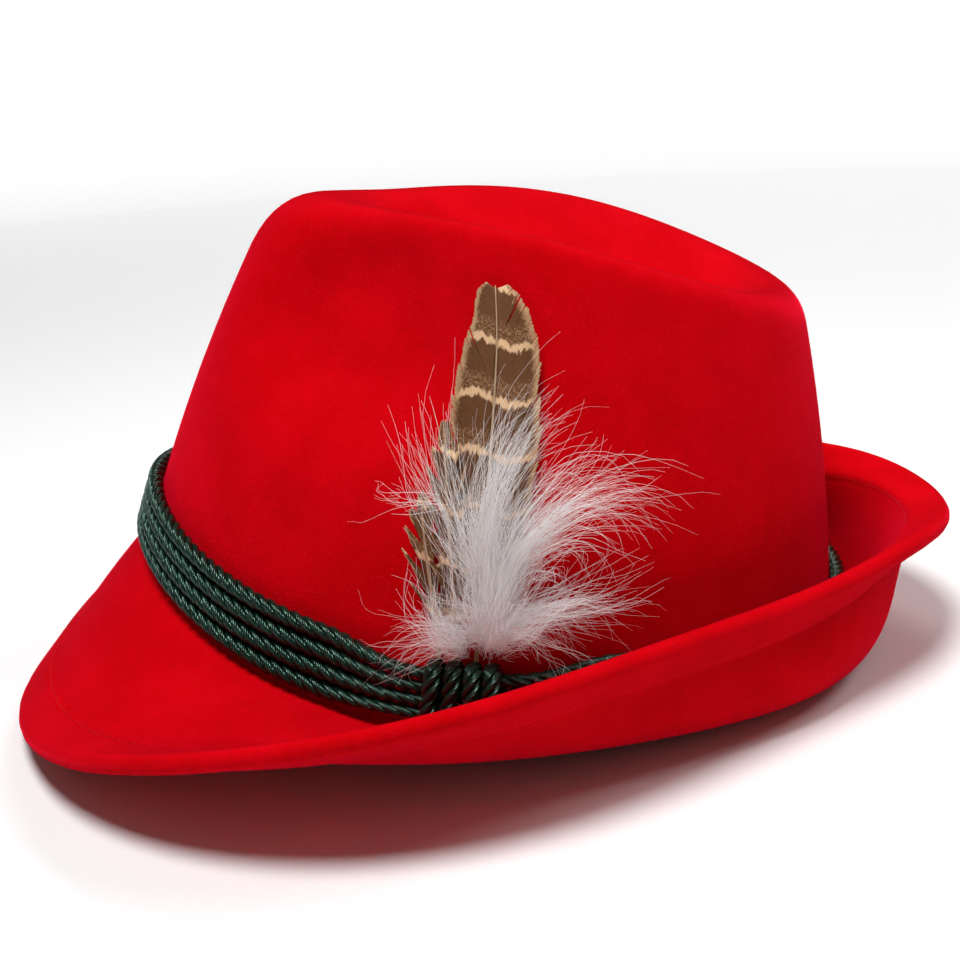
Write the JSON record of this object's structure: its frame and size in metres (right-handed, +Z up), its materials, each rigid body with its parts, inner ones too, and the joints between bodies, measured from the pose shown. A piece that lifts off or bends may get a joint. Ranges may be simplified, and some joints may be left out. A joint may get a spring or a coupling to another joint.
{
  "type": "felt hat",
  "caption": "Tyrolean felt hat: creased crown, brim down in front and turned up behind, twisted cord band, barred feather with white fluff at the wearer's left.",
  "frame": {"origin": "on the table plane under the middle of the hat's length and breadth, as the hat rests by itself", "axes": "the wearer faces -Y, +X is the wearer's left, +Z is up"},
  "size_m": [0.287, 0.2886, 0.1443],
  "materials": {
    "felt": "matt wool felt with a short raised nap",
    "cord": "twisted cord of shiny dark green yarn",
    "feather": "barred brown flight feather, soft sheen",
    "fluff": "white down, translucent strands"
  },
  "bodies": {
    "root": {"felt_body": "felt", "band_cord_1": "cord", "band_cord_2": "cord", "band_cord_3": "cord", "band_cord_4": "cord", "cord_wrap_1": "cord", "cord_wrap_2": "cord", "cord_wrap_3": "cord", "cord_wrap_4": "cord", "feather_main": "feather", "feather_side_1": "feather", "feather_side_2": "feather", "fluff": "fluff"}
  },
  "joints": []
}
